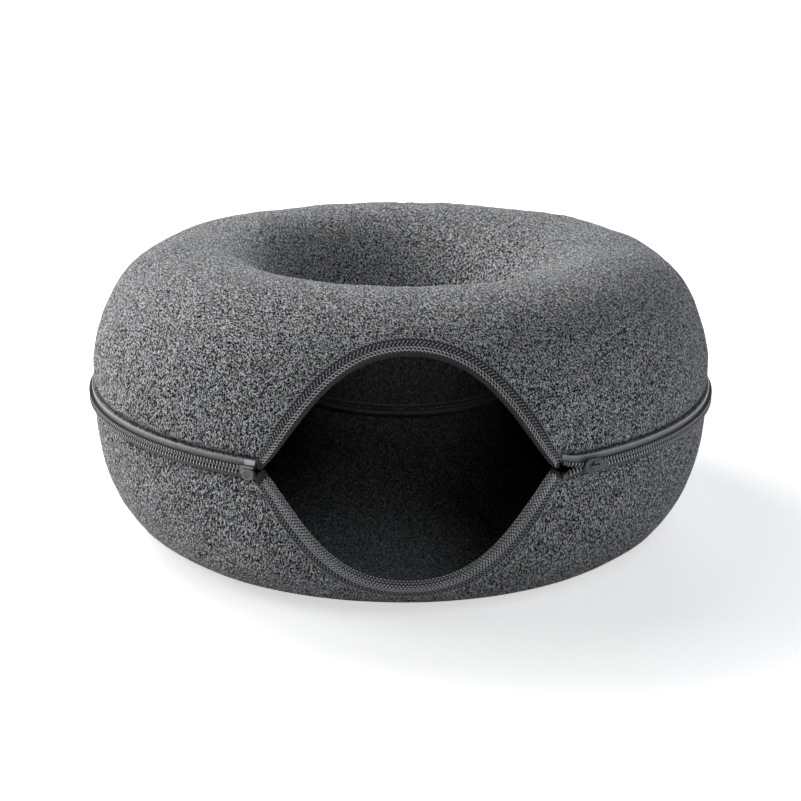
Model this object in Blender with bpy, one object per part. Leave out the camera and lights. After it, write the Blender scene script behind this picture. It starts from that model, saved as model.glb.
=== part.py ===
"""Donut cat tunnel: two moulded felt half rings, closed by an outer and an inner separating zip.

Metres, +Z up. The entrance faces -Y, and the origin is on the floor under the middle of the object.
Angles run round the ring's axis from the entrance, counter-clockwise seen from above.
"""

from dataclasses import dataclass
from math import asin, ceil, copysign, cos, degrees, pi, radians, sin, sqrt

import bmesh
import bpy
from mathutils import Vector

# The felt ring
RING_RADIUS = 0.250
RING_HEIGHT = 0.227
SEAM_HEIGHT = 0.1135
HOLE_RADIUS = 0.090
FELT = 0.005
UPPER_CREST_RADIUS = 0.1675
FOOT_RADIUS = 0.181
FOOT_WIDTH = 0.016
OUTER_ROUNDNESS = 2.3
INNER_ROUNDNESS = 2.37
FOOT_ROUNDNESS = 2.2

# The entrance, cut through the outer wall of both halves. Its crown lies this deep under the ring's top
ENTRANCE_HALF_WIDTH = 0.1025
ENTRANCE_CROWN_DEPTH = 0.0295
ENTRANCE_SILL_HEIGHT = 0.0270
ENTRANCE_CORNER_GAP = 0.0010
CORNER_ANGLE = radians(52)
CORNER_HANDLE_SHARE = 0.53
CROWN_HANDLE_SHARE = 0.535

# The stitched edging folded over the felt at the entrance
EDGING_WIDTH = 0.0080
EDGING_THICKNESS = 0.0009
EDGING_NOSE = 0.0012
EDGING_TONGUE = 0.0100
EDGING_TIP_WIDTH = 0.0025
EDGING_INNER_CLEARANCE = 0.0010

# What every touching pair keeps between its faces
SEAT_GAP = 0.0003

# Both zips: tape, then the chain of teeth on its face
TAPE_THICKNESS = 0.0008
TAPE_SPLIT = 0.0016
UPPER_TAPE_WIDTH = 0.0088
LOWER_TAPE_WIDTH = 0.0067
TEETH_WIDTH = 0.0023
TEETH_THICKNESS = 0.0026
OUTER_TAPE_END_MARGIN = 0.0035
INNER_TAPE_END_GAP = 0.0125

# Stops, retaining box, insertion pin and end film
STOP_LENGTH = 0.0030
STOP_WALL = 0.0008
STOP_WEB = 0.00035
STOP_BACK_WIDTH = 0.0010
STOP_FELT_GAP = 0.0005
BOX_LENGTH = 0.0080
BOX_DROP = 0.0065
BOX_RISE = 0.0012
BOX_WALL = 0.0009
BOX_CORNER = 0.0009
PIN_THICKNESS = 0.0012
PIN_TAIL = 0.0030
FILM_THICKNESS = 0.0004
FILM_EDGE_MARGIN = 0.0006

# Slider: two plates, side flanges, the neck that parts the teeth, and the crown that holds the pull
SLIDER_LENGTH = 0.0140
SLIDER_PLATE = 0.0014
SLIDER_WALL = 0.0011
SLIDER_FLARE = 0.0006
SLIDER_NOSE_WIDTH = 0.0064
SLIDER_BACK_NARROWING = 0.0004
SLIDER_RUNNING_GAP = 0.0008
SLIDER_SIDE_GAP = 0.0005
SLIDER_FELT_GAP = 0.0006
NECK_LENGTH = 0.0040
OUTER_SLIDER_STOP_GAP = 0.0135
INNER_SLIDER_STOP_GAP = 0.0030
CROWN_LENGTH = 0.0080
CROWN_TOP_LENGTH = 0.0058
CROWN_BAR = 0.0012
CROWN_SLOT_LENGTH = 0.0040
CROWN_WIDTH = 0.0024

# Pull
PULL_THICKNESS = 0.0010
PULL_LENGTH = 0.0125
PULL_ARM = 0.0017
PULL_SIDE_GAP = 0.0005
PULL_END_GAP = 0.0006
PULL_HEAD_GAP = 0.0006
PULL_LIFT = 0.0004
PULL_END_CORNER = 0.0015

# What follows from those sizes: how far the teeth, the slider and the pull reach
TAPE_FACE = SEAT_GAP + TAPE_THICKNESS
TAPE_EDGE = TAPE_SPLIT / 2
TEETH_FACE = TAPE_FACE + SEAT_GAP
TEETH_TOP = TEETH_FACE + TEETH_THICKNESS
TEETH_EDGE = TAPE_EDGE + TEETH_WIDTH
BOX_TOP = TEETH_FACE + 2 * BOX_WALL + PIN_THICKNESS + 2 * SEAT_GAP
PIN_FACE = TEETH_FACE + BOX_WALL + SEAT_GAP
FLANGE_EDGE = TEETH_EDGE + SLIDER_SIDE_GAP
TAIL_EDGE = FLANGE_EDGE + SLIDER_WALL
SHOULDER_EDGE = TAIL_EDGE + SLIDER_FLARE
PLATE_FACE = TEETH_TOP + SLIDER_RUNNING_GAP
PLATE_TOP = PLATE_FACE + SLIDER_PLATE
BACK_FACE = SEAT_GAP - SLIDER_RUNNING_GAP
BACK_TOP = BACK_FACE - SLIDER_PLATE
CROWN_TOP = PLATE_TOP + PULL_LIFT + PULL_THICKNESS + PULL_HEAD_GAP + CROWN_BAR
PIVOT_OUT = PLATE_TOP + PULL_LIFT + PULL_THICKNESS / 2
WINDOW_LENGTH = CROWN_LENGTH / 2 - PULL_THICKNESS / 2 + PULL_END_GAP
WINDOW_HALF = CROWN_WIDTH / 2 + PULL_SIDE_GAP

# The felt's edges stand back from the middle for the slider, and the loose ends part as far as they let them
SEAM_SETBACK = SHOULDER_EDGE - SLIDER_BACK_NARROWING + SLIDER_FELT_GAP
OUTER_PARTING = SEAM_SETBACK - STOP_FELT_GAP - STOP_BACK_WIDTH - (TAPE_EDGE - SEAT_GAP)

# How finely round shapes are cut into flat faces
RING_STEPS = 60
WALL_STEPS = 8
ENTRANCE_STEPS = 13
PARTING_STEPS = 4
SMOOTH_ANGLE = radians(40)

# Cutters reach this far past what they cut
OVERRUN = 0.0120
OVERLAP = 0.0002

FELT_GREY = (0.15, 0.15, 0.155)
EDGING_GREY = (0.11, 0.11, 0.115)
TAPE_GREY = (0.16, 0.165, 0.18)
TEETH_GREY = (0.30, 0.31, 0.34)
METAL_GREY = (0.26, 0.27, 0.30)
BOX_GREY = (0.20, 0.20, 0.21)
FILM_GREY = (0.45, 0.45, 0.46)


def clear_scene():
    for old in list(bpy.data.objects):
        bpy.data.objects.remove(old, do_unlink=True)


def principled(name, colour, roughness, metallic=0.0):
    material = bpy.data.materials.new(name)
    material.use_nodes = True
    shader = material.node_tree.nodes["Principled BSDF"]
    shader.inputs["Base Color"].default_value = (*colour, 1.0)
    shader.inputs["Roughness"].default_value = roughness
    shader.inputs["Metallic"].default_value = metallic
    return material


def add_object(name, mesh, material, parent):
    piece = bpy.data.objects.new(name, mesh)
    bpy.context.scene.collection.objects.link(piece)
    mesh.materials.append(material)
    piece.parent = parent
    return piece


def smooth_mesh(name, body):
    """The finished mesh of a bmesh body, facing out and shaded smooth over its shallow edges."""
    bmesh.ops.recalc_face_normals(body, faces=body.faces)
    mesh = bpy.data.meshes.new(name)
    body.to_mesh(mesh)
    body.free()
    mesh.shade_smooth()
    mesh.set_sharp_from_angle(angle=SMOOTH_ANGLE)
    return mesh


def add_loft(body, loops, ring=False):
    """Joins like-sized closed loops of points in order. A run gets end caps, and a ring joins up."""
    rows = [[body.verts.new(point) for point in loop] for loop in loops]
    pairs = list(zip(rows, rows[1:]))
    if ring:
        pairs.append((rows[-1], rows[0]))
    else:
        body.faces.new(rows[0])
        body.faces.new(reversed(rows[-1]))
    for near, far in pairs:
        for i in range(len(near)):
            j = (i + 1) % len(near)
            body.faces.new((near[i], far[i], far[j]))
            body.faces.new((near[i], far[j], near[j]))


def loft_mesh(name, loops, ring=False):
    body = bmesh.new()
    add_loft(body, loops, ring)
    return smooth_mesh(name, body)


def add_prism(body, outline, low, high, place):
    """A straight block with this outline, from low to high along the third local direction."""
    add_loft(body, [[place(a, b, height) for a, b in outline] for height in (low, high)])


def helper(name, body, parent):
    """A cutter or a joined-on block, which the object itself doesn't show."""
    bmesh.ops.recalc_face_normals(body, faces=body.faces)
    mesh = bpy.data.meshes.new(name)
    body.to_mesh(mesh)
    body.free()
    piece = bpy.data.objects.new(name, mesh)
    bpy.context.scene.collection.objects.link(piece)
    piece.parent = parent
    piece.hide_render = True
    piece.display_type = "WIRE"
    return piece


def boolean(piece, other, operation):
    modifier = piece.modifiers.new(operation.lower(), "BOOLEAN")
    modifier.operation = operation
    modifier.solver = "EXACT"
    modifier.use_self = operation == "UNION"
    modifier.object = other


@dataclass
class Quarter:
    """A quarter of the wall's outline, from the seam's level to the crest or the foot."""

    crest_radius: float
    seam_radius: float
    rise: float
    roundness: float

    def at(self, turn, depth=0.0):
        """(radius, height over the seam) at this turn, this deep in the felt."""
        reach = self.seam_radius - self.crest_radius
        across = cos(turn) ** (2 / self.roundness) if turn < pi / 2 else 0.0
        up = sin(turn) ** (2 / self.roundness)
        normal = self.normal(across, up)
        radius = self.crest_radius + reach * across - depth * normal[0]
        return radius, self.rise * up - depth * normal[1]

    def normal(self, across, up):
        reach = self.seam_radius - self.crest_radius
        outward = across ** (self.roundness - 1) / reach
        upward = up ** (self.roundness - 1) / self.rise
        length = sqrt(outward**2 + upward**2)
        return outward / length, upward / length

    def turn_at(self, height):
        return asin((height / self.rise) ** (self.roundness / 2))

    def face(self, depth):
        """The outline from the felt's edge at the seam to the crest, as (radius, height) pairs."""
        setback = copysign(SEAM_SETBACK, self.rise)
        first = self.turn_at(setback)
        turns = [first + (pi / 2 - first) * i / WALL_STEPS for i in range(WALL_STEPS + 1)]
        points = [self.at(turn, depth) for turn in turns]
        return [(points[0][0], setback)] + points[1:]


UPPER_RISE = RING_HEIGHT - SEAM_HEIGHT
UPPER_OUTER = Quarter(UPPER_CREST_RADIUS, RING_RADIUS, UPPER_RISE, OUTER_ROUNDNESS)
UPPER_INNER = Quarter(UPPER_CREST_RADIUS, HOLE_RADIUS, UPPER_RISE, INNER_ROUNDNESS)
LOWER_OUTER = Quarter(FOOT_RADIUS + FOOT_WIDTH / 2, RING_RADIUS, -SEAM_HEIGHT, FOOT_ROUNDNESS)
LOWER_INNER = Quarter(FOOT_RADIUS - FOOT_WIDTH / 2, HOLE_RADIUS, -SEAM_HEIGHT, FOOT_ROUNDNESS)


def ring_point(radius, angle, height):
    """A point by its distance from the axis, its angle from the entrance and its height over the seam."""
    return Vector((radius * sin(angle), -radius * cos(angle), SEAM_HEIGHT + height))


def wall_outline(outer, inner):
    """The closed cross-section of one felt half: its outside, then back along its inside."""
    outside = outer.face(0.0) + inner.face(0.0)[::-1]
    inside = outer.face(FELT) + inner.face(FELT)[::-1]
    if outer.crest_radius == inner.crest_radius:
        for face in (outside, inside):
            del face[WALL_STEPS]
    return outside + inside[::-1]


def felt_half(name, outer, inner, entrance, material, parent):
    """A half ring pressed from one sheet of felt, with its share of the entrance cut out."""
    outline = wall_outline(outer, inner)
    loops = [
        [ring_point(radius, 2 * pi * i / RING_STEPS, height) for radius, height in outline]
        for i in range(RING_STEPS)
    ]
    piece = add_object(name, loft_mesh(name, loops, ring=True), material, parent)
    boolean(piece, entrance, "DIFFERENCE")
    return piece


def on_shell(x, height):
    """The outside of the ring's front at this place: (point, outward normal)."""
    quarter = UPPER_OUTER if height >= 0 else LOWER_OUTER
    turn = quarter.turn_at(height)
    radius = quarter.at(turn)[0]
    outward, upward = quarter.normal(cos(turn) ** (2 / quarter.roundness), height / quarter.rise)
    angle = asin(x / radius)
    normal = Vector((outward * sin(angle), -outward * cos(angle), upward))
    return ring_point(radius, angle, height), normal


def arch_outline(rise):
    """Half of the entrance's almond outline, from its +X corner over the crown to its -X corner."""
    side = copysign(1, rise)
    corner = Vector((ENTRANCE_HALF_WIDTH, side * ENTRANCE_CORNER_GAP / 2))
    crown = Vector((0, rise))
    handle = abs(rise) * CORNER_HANDLE_SHARE
    lean = Vector((-handle * cos(CORNER_ANGLE), side * handle * sin(CORNER_ANGLE)))
    shoulder = Vector((ENTRANCE_HALF_WIDTH * CROWN_HANDLE_SHARE, rise))
    points = []
    for i in range(ENTRANCE_STEPS + 1):
        t = i / ENTRANCE_STEPS
        s = 1 - t
        points.append(s**3 * corner + 3 * s**2 * t * (corner + lean) + 3 * s * t**2 * shoulder + t**3 * crown)
    return points + [Vector((-point.x, point.y)) for point in points[-2::-1]]


@dataclass
class RimStation:
    """A place on the entrance's edge, with the direction along the wall and away from the opening."""

    point: Vector
    away: Vector
    along: float

    def at(self, distance, lift):
        """The point this far from the edge along the wall, and this far out from its outside."""
        beside = self.point + self.away * distance
        surface, normal = on_shell(beside.x, beside.z - SEAM_HEIGHT)
        return surface + normal * lift


def rim_stations(rise):
    points = [on_shell(x, height) for x, height in arch_outline(rise)]
    middle = ring_point(RING_RADIUS, 0.0, 0.0)
    stations = []
    along = 0.0
    for i, (point, normal) in enumerate(points):
        before = points[max(i - 1, 0)][0]
        after = points[min(i + 1, len(points) - 1)][0]
        away = normal.cross(after - before).normalized()
        if away.dot(point - middle) < 0:
            away.negate()
        along += (point - before).length
        stations.append(RimStation(point, away, along))
    return stations


def entrance_cutter(upper, lower, parent):
    """What is cut from the felt at the entrance: a plug square to the wall, clear of the edging's nose."""
    edge = EDGING_NOSE + SEAT_GAP
    rim = upper + lower[::-1]
    outside = [station.at(edge, OVERRUN) for station in rim]
    inside = [station.at(edge, -FELT - OVERRUN) for station in rim]
    body = bmesh.new()
    rows = [[body.verts.new(point) for point in loop] for loop in (outside, inside)]
    tips = [
        body.verts.new(ring_point(RING_RADIUS + OVERRUN, 0.0, 0.0)),
        body.verts.new(ring_point(RING_RADIUS - FELT - OVERRUN, 0.0, 0.0)),
    ]
    for i in range(len(rim)):
        j = (i + 1) % len(rim)
        body.faces.new((rows[0][i], rows[0][j], rows[1][j], rows[1][i]))
        body.faces.new((tips[0], rows[0][j], rows[0][i]))
        body.faces.new((tips[1], rows[1][i], rows[1][j]))
    return helper("entrance_cutter", body, parent)


def edging(name, stations, material, parent):
    """The edging folded round the felt's cut edge, with a rounded tongue at each corner."""
    total = stations[-1].along
    under = -FELT - EDGING_INNER_CLEARANCE
    loops = []
    for station in stations:
        from_end = min(station.along, total - station.along, EDGING_TONGUE)
        roundness = sqrt(1 - (1 - from_end / EDGING_TONGUE) ** 2)
        width = max(EDGING_WIDTH * roundness, EDGING_TIP_WIDTH)
        section = [
            (width, SEAT_GAP),
            (EDGING_NOSE, SEAT_GAP),
            (EDGING_NOSE, under),
            (width, under),
            (width, under - EDGING_THICKNESS),
            (EDGING_NOSE, under - EDGING_THICKNESS),
            (0.0, under + EDGING_THICKNESS),
            (0.0, -EDGING_THICKNESS),
            (EDGING_NOSE, SEAT_GAP + EDGING_THICKNESS),
            (width, SEAT_GAP + EDGING_THICKNESS),
        ]
        loops.append([station.at(distance, lift) for distance, lift in section])
    return add_object(name, loft_mesh(name, loops), material, parent)


@dataclass
class Zip:
    """One zip on a face of the felt. Its slider closes it towards start, and its box is at end."""

    name: str
    face_radius: float
    side: int
    start: float
    end: float
    slider_stop_gap: float
    parting: float

    def arc(self, length):
        return length / self.face_radius

    @property
    def stop_end(self):
        return self.start + self.arc(STOP_LENGTH)

    @property
    def box_start(self):
        return self.end - self.arc(BOX_LENGTH)

    @property
    def pin_start(self):
        return self.box_start - self.arc(PIN_TAIL)

    @property
    def slider_angle(self):
        return self.stop_end + self.arc(self.slider_stop_gap + SLIDER_LENGTH / 2)

    @property
    def closed_from(self):
        """Where the two rows of teeth meet, just ahead of the slider."""
        return self.slider_angle - self.arc(SLIDER_LENGTH / 2)

    @property
    def slider_travel(self):
        return self.box_start - self.arc(SLIDER_LENGTH / 2 + SLIDER_SIDE_GAP) - self.slider_angle

    def parted(self, angle):
        """How far each row has moved from the middle, ahead of the slider."""
        share = max(0.0, (self.closed_from - angle) / (self.closed_from - self.start))
        return self.parting * share**1.5

    def angles(self, low, high):
        """The places from low to high where the zip's flat faces meet."""
        step = 2 * pi / RING_STEPS
        places = [step * i for i in range(ceil(low / step), ceil(high / step))]
        places += [self.stop_end, self.pin_start, self.box_start]
        if self.parting:
            span = self.closed_from - self.start
            places += [self.start + span * i / PARTING_STEPS for i in range(1, PARTING_STEPS + 1)]
        least = self.arc(STOP_LENGTH / 2)
        chosen = [low]
        for place in sorted(places):
            if chosen[-1] + least < place < high - least:
                chosen.append(place)
        return chosen + [high]

    def loops(self, section, row, low, high):
        """The section, as (out from the felt, height) pairs, at each of those places."""
        return [
            [
                ring_point(self.face_radius + self.side * out, angle, row * (height + self.parted(angle)))
                for out, height in section
            ]
            for angle in self.angles(low, high)
        ]

    def place(self, angle):
        """A frame that lies flat on the zip: forward to start, up, and out from the felt."""
        radial = Vector((sin(angle), -cos(angle), 0))
        forward = Vector((-cos(angle), -sin(angle), 0))

        def point(ahead, height, out):
            base = radial * (self.face_radius + self.side * out) + forward * ahead
            return base + Vector((0, 0, SEAM_HEIGHT + height))

        return point


def rectangle(out_low, out_high, low, high):
    return [(out_low, low), (out_high, low), (out_high, high), (out_low, high)]


def tape(name, run, row, width, material, parent):
    section = rectangle(SEAT_GAP, TAPE_FACE, TAPE_EDGE, TAPE_EDGE + width)
    loops = run.loops(section, row, run.start, run.end)
    return add_object(name, loft_mesh(name, loops), material, parent)


def teeth(name, run, row, material, parent):
    """One row of the chain, as the strip that its teeth fill."""
    section = rectangle(TEETH_FACE, TEETH_TOP, TAPE_EDGE, TEETH_EDGE)
    gap = run.arc(SEAT_GAP)
    loops = run.loops(section, row, run.stop_end + gap, run.pin_start - gap)
    return add_object(name, loft_mesh(name, loops), material, parent)


def stop(name, run, row, material, parent):
    """A clip crimped round the tape's edge at the closed end. Its back leg starts level with the felt."""
    edge = TAPE_EDGE - SEAT_GAP
    section = [
        (TEETH_TOP, edge - STOP_WEB),
        (TEETH_TOP, TEETH_EDGE),
        (TEETH_FACE, TEETH_EDGE),
        (TEETH_FACE, edge),
        (0.0, edge),
        (0.0, edge + STOP_BACK_WIDTH),
        (-STOP_WALL, edge + STOP_BACK_WIDTH),
        (-STOP_WALL, edge - STOP_WEB),
    ]
    loops = run.loops(section, row, run.start, run.stop_end)
    return add_object(name, loft_mesh(name, loops), material, parent)


def retaining_box(name, run, material, parent):
    """The box on the lower tape. Its groove is open upwards, for the pin on the upper tape."""
    groove_low = -TEETH_EDGE - SEAT_GAP
    groove_back = TEETH_FACE + BOX_WALL
    groove_front = BOX_TOP - BOX_WALL
    section = [
        (TEETH_FACE, -BOX_DROP),
        (BOX_TOP - BOX_CORNER, -BOX_DROP),
        (BOX_TOP, -BOX_DROP + BOX_CORNER),
        (BOX_TOP, BOX_RISE),
        (groove_front, BOX_RISE),
        (groove_front, groove_low),
        (groove_back, groove_low),
        (groove_back, BOX_RISE),
        (TEETH_FACE, BOX_RISE),
    ]
    loops = run.loops(section, 1, run.box_start, run.end)
    return add_object(name, loft_mesh(name, loops), material, parent)


def insertion_pin(name, run, material, parent):
    """The pin on the upper tape's end. Its tongue is down in the box's groove, as deep as the teeth."""
    shelf = BOX_RISE + SEAT_GAP
    section = [
        (TEETH_FACE, shelf),
        (PIN_FACE, shelf),
        (PIN_FACE, -TEETH_EDGE),
        (PIN_FACE + PIN_THICKNESS, -TEETH_EDGE),
        (PIN_FACE + PIN_THICKNESS, TEETH_EDGE),
        (TEETH_FACE, TEETH_EDGE),
    ]
    loops = run.loops(section, 1, run.pin_start, run.end)
    return add_object(name, loft_mesh(name, loops), material, parent)


def end_film(name, run, material, parent):
    """The stiff clear film pressed on the end of the upper tape."""
    low = TEETH_EDGE + FILM_EDGE_MARGIN
    high = TAPE_EDGE + UPPER_TAPE_WIDTH - FILM_EDGE_MARGIN
    section = rectangle(TEETH_FACE, TEETH_FACE + FILM_THICKNESS, low, high)
    loops = run.loops(section, 1, run.box_start, run.end)
    return add_object(name, loft_mesh(name, loops), material, parent)


def slider_outline(narrowing):
    """A slider plate seen from outside: straight sides that widen to the shoulders, and a blunt nose."""
    half = SLIDER_LENGTH / 2
    shoulder = half - NECK_LENGTH
    right = [
        (-half, TAIL_EDGE - narrowing),
        (shoulder, SHOULDER_EDGE - narrowing),
        (half, SLIDER_NOSE_WIDTH / 2 - narrowing),
    ]
    return right + [(ahead, -height) for ahead, height in reversed(right)]


def slider(run, material, parent):
    """The slider's body, cast in one piece. It runs round the ring's axis."""
    point = run.place(run.slider_angle)
    name = run.name + "_slider"
    front = bmesh.new()
    add_prism(front, slider_outline(0.0), PLATE_FACE, PLATE_TOP, point)
    piece = add_object(name, smooth_mesh(name, front), material, parent)

    joined = bmesh.new()
    add_prism(joined, slider_outline(SLIDER_BACK_NARROWING), BACK_TOP, BACK_FACE, point)
    half = SLIDER_LENGTH / 2
    for row in (1, -1):
        sides = [
            (OVERLAP - half, row * FLANGE_EDGE),
            (half - NECK_LENGTH, row * FLANGE_EDGE),
            (half - NECK_LENGTH, row * (SHOULDER_EDGE - OVERLAP)),
            (OVERLAP - half, row * (TAIL_EDGE - OVERLAP)),
        ]
        add_prism(joined, sides, TEETH_FACE + SLIDER_SIDE_GAP, PLATE_FACE + OVERLAP, point)
    neck_half = TAPE_EDGE - SEAT_GAP
    neck = [
        (half - NECK_LENGTH, -neck_half),
        (half - OVERLAP, -neck_half),
        (half - OVERLAP, neck_half),
        (half - NECK_LENGTH, neck_half),
    ]
    add_prism(joined, neck, BACK_FACE - OVERLAP, PLATE_FACE + OVERLAP, point)
    base = PLATE_TOP - OVERLAP
    crown = [
        (-CROWN_LENGTH / 2, base),
        (-CROWN_TOP_LENGTH / 2, CROWN_TOP),
        (CROWN_TOP_LENGTH / 2, CROWN_TOP),
        (CROWN_LENGTH / 2, base),
        (CROWN_SLOT_LENGTH / 2, base),
        (CROWN_SLOT_LENGTH / 2, CROWN_TOP - CROWN_BAR),
        (-CROWN_SLOT_LENGTH / 2, CROWN_TOP - CROWN_BAR),
        (-CROWN_SLOT_LENGTH / 2, base),
    ]

    def sideways(ahead, out, height):
        return point(ahead, height, out)

    add_prism(joined, crown, -CROWN_WIDTH / 2, CROWN_WIDTH / 2, sideways)
    boolean(piece, helper(name + "_joined", joined, parent), "UNION")
    return piece


def pull(run, carrier, material):
    """The tab held under the crown. It swings about an upright line through its head bar."""
    pivot = run.place(run.slider_angle)(0.0, 0.0, PIVOT_OUT)
    point = run.place(run.slider_angle)
    name = run.name + "_pull"
    head = PULL_THICKNESS / 2

    def local(ahead, height, out):
        return point(ahead, height, out) - pivot

    half = WINDOW_HALF + PULL_ARM
    outline = [
        (head, -half),
        (head, half),
        (PULL_END_CORNER - PULL_LENGTH, half),
        (-PULL_LENGTH, half - PULL_END_CORNER),
        (-PULL_LENGTH, PULL_END_CORNER - half),
        (PULL_END_CORNER - PULL_LENGTH, -half),
    ]
    body = bmesh.new()
    add_prism(body, outline, PIVOT_OUT - head, PIVOT_OUT + head, local)
    piece = add_object(name, smooth_mesh(name, body), material, carrier)
    piece.location = pivot

    opening = rectangle(-head - WINDOW_LENGTH, -head, -WINDOW_HALF, WINDOW_HALF)
    window = bmesh.new()
    add_prism(window, opening, PIVOT_OUT - PULL_THICKNESS, PIVOT_OUT + PULL_THICKNESS, local)
    cutter = helper(name + "_window", window, carrier)
    cutter.location = pivot
    boolean(piece, cutter, "DIFFERENCE")
    return piece


def fit_zip(run, materials, parent):
    """Every piece of one zip."""
    for row, half, width in ((1, "upper", UPPER_TAPE_WIDTH), (-1, "lower", LOWER_TAPE_WIDTH)):
        start = f"{run.name}_{half}_"
        tape(start + "tape", run, row, width, materials["tape"], parent)
        teeth(start + "teeth", run, row, materials["teeth"], parent)
        stop(start + "stop", run, row, materials["metal"], parent)
    retaining_box(run.name + "_retaining_box", run, materials["box"], parent)
    insertion_pin(run.name + "_insertion_pin", run, materials["box"], parent)
    end_film(run.name + "_end_film", run, materials["film"], parent)
    carrier = slider(run, materials["metal"], parent)
    pull(run, carrier, materials["metal"])


def ring_axis(upper, lower):
    """The empty that carries everything, set so that the object is centred over the origin."""
    front = max(-station.point.y for station in upper + lower) + SEAT_GAP + EDGING_THICKNESS
    back = RING_RADIUS + TEETH_TOP
    axis = bpy.data.objects.new("ring_axis", None)
    bpy.context.scene.collection.objects.link(axis)
    axis.location = (0, (front - back) / 2, 0)
    return axis


def report(axis, zips):
    """Prints the places that the joints turn about."""
    bpy.context.view_layer.update()
    print("ring axis at", tuple(round(value, 5) for value in axis.matrix_world.translation))
    for run in zips:
        pivot = bpy.data.objects[run.name + "_pull"].matrix_world.translation
        print(run.name, "slider travel", round(degrees(run.slider_travel), 2), "degrees")
        print(run.name, "pull pivot", tuple(round(value, 5) for value in pivot))


def main():
    clear_scene()
    materials = {
        "felt": principled("felt", FELT_GREY, 0.95),
        "edging": principled("edging", EDGING_GREY, 0.9),
        "tape": principled("tape", TAPE_GREY, 0.6),
        "teeth": principled("teeth", TEETH_GREY, 0.4),
        "metal": principled("metal", METAL_GREY, 0.4, 0.6),
        "box": principled("box", BOX_GREY, 0.45),
        "film": principled("film", FILM_GREY, 0.35),
    }
    upper = rim_stations(UPPER_RISE - ENTRANCE_CROWN_DEPTH)
    lower = rim_stations(ENTRANCE_SILL_HEIGHT - SEAM_HEIGHT)
    axis = ring_axis(upper, lower)

    entrance = entrance_cutter(upper, lower, axis)
    felt_half("upper_shell", UPPER_OUTER, UPPER_INNER, entrance, materials["felt"], axis)
    felt_half("lower_shell", LOWER_OUTER, LOWER_INNER, entrance, materials["felt"], axis)
    edging("upper_arch_edging", upper, materials["edging"], axis)
    edging("lower_arch_edging", lower, materials["edging"], axis)

    corner = asin(ENTRANCE_HALF_WIDTH / RING_RADIUS) + OUTER_TAPE_END_MARGIN / RING_RADIUS
    start, end = corner, 2 * pi - corner
    outer_zip = Zip("outer_zip", RING_RADIUS, 1, start, end, OUTER_SLIDER_STOP_GAP, OUTER_PARTING)
    # The inner zip's ends meet at the back of the ring, out of sight from the entrance
    margin = INNER_TAPE_END_GAP / 2 / HOLE_RADIUS
    start, end = pi + margin, 3 * pi - margin
    inner_zip = Zip("inner_zip", HOLE_RADIUS, -1, start, end, INNER_SLIDER_STOP_GAP, 0.0)
    for run in (outer_zip, inner_zip):
        fit_zip(run, materials, axis)
    report(axis, (outer_zip, inner_zip))


main()
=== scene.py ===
"""The donut cat tunnel as photographed: two heather grey felt half rings, a stitched entrance and two zips.

Metres, +Z up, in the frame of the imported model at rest. Angles run round the ring's axis from the entrance,
counter-clockwise seen from above, and heights are over the seam between the halves unless a name says otherwise.
"""

from math import asin, copysign, cos, pi, radians, sin, tau

import bmesh
import bpy
import numpy as np
from mathutils import Matrix, Vector


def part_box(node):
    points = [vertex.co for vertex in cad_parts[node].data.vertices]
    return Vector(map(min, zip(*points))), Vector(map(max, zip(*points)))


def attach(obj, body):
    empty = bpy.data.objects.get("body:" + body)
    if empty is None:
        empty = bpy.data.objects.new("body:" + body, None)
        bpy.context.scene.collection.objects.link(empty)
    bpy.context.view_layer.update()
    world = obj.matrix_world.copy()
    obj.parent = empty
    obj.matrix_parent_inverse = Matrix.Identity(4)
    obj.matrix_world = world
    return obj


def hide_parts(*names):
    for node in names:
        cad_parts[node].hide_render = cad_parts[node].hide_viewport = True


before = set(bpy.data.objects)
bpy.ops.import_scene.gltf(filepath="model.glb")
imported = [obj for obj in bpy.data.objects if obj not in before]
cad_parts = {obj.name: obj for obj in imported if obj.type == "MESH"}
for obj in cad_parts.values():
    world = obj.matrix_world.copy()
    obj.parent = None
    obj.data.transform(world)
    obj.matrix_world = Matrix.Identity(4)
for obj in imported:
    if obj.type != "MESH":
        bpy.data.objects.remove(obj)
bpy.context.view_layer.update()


# The two felt half rings. Each is one 5 mm sheet of grey needle-punched felt, hot-pressed over a mould, so it
# has no seam. Their raw edges stand back from each other in the middle, and the zips bridge that gap. The
# almond entrance is die-cut through the front of both.
ring_radius = 0.250
ring_height = 0.227
seam_height = 0.1135
hole_radius = 0.090
crest_radius = 0.1675
foot_radius = 0.181
foot_width = 0.016
felt = 0.005
felt_setback = 0.0055
upper_rise = ring_height - seam_height
upper_roundness = 2.3
upper_hub_roundness = 2.37
lower_roundness = 2.2
ring_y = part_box("lower_shell")[1].y - ring_radius

# Crest radius, radius at the seam, rise and roundness of each quarter of the wall
quarters = {
    ("upper", "outer"): (crest_radius, ring_radius, upper_rise, upper_roundness),
    ("upper", "inner"): (crest_radius, hole_radius, upper_rise, upper_hub_roundness),
    ("lower", "outer"): (foot_radius + foot_width / 2, ring_radius, -seam_height, lower_roundness),
    ("lower", "inner"): (foot_radius - foot_width / 2, hole_radius, -seam_height, lower_roundness),
}

entrance_half_width = 0.1025
entrance_rise = 0.084
entrance_drop = 0.0865
entrance_corner_gap = 0.0010
entrance_corner_angle = radians(52)
# How far the edge's curve keeps its way, from a corner as a share of the rise and from the crown of the width
corner_handle = 0.53
crown_handle = 0.535
edging_nose = 0.0012
edging_gap = 0.0003


def unit(vectors):
    return vectors / np.linalg.norm(vectors, axis=-1, keepdims=True)


def ring_points(radius, angle, height):
    """Points by their distance from the ring's axis, their angle and their height over the seam."""
    radius, angle, height = np.broadcast_arrays(radius, angle, height)
    return np.stack(
        [radius * np.sin(angle), ring_y - radius * np.cos(angle), seam_height + height], axis=-1
    )


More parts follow.
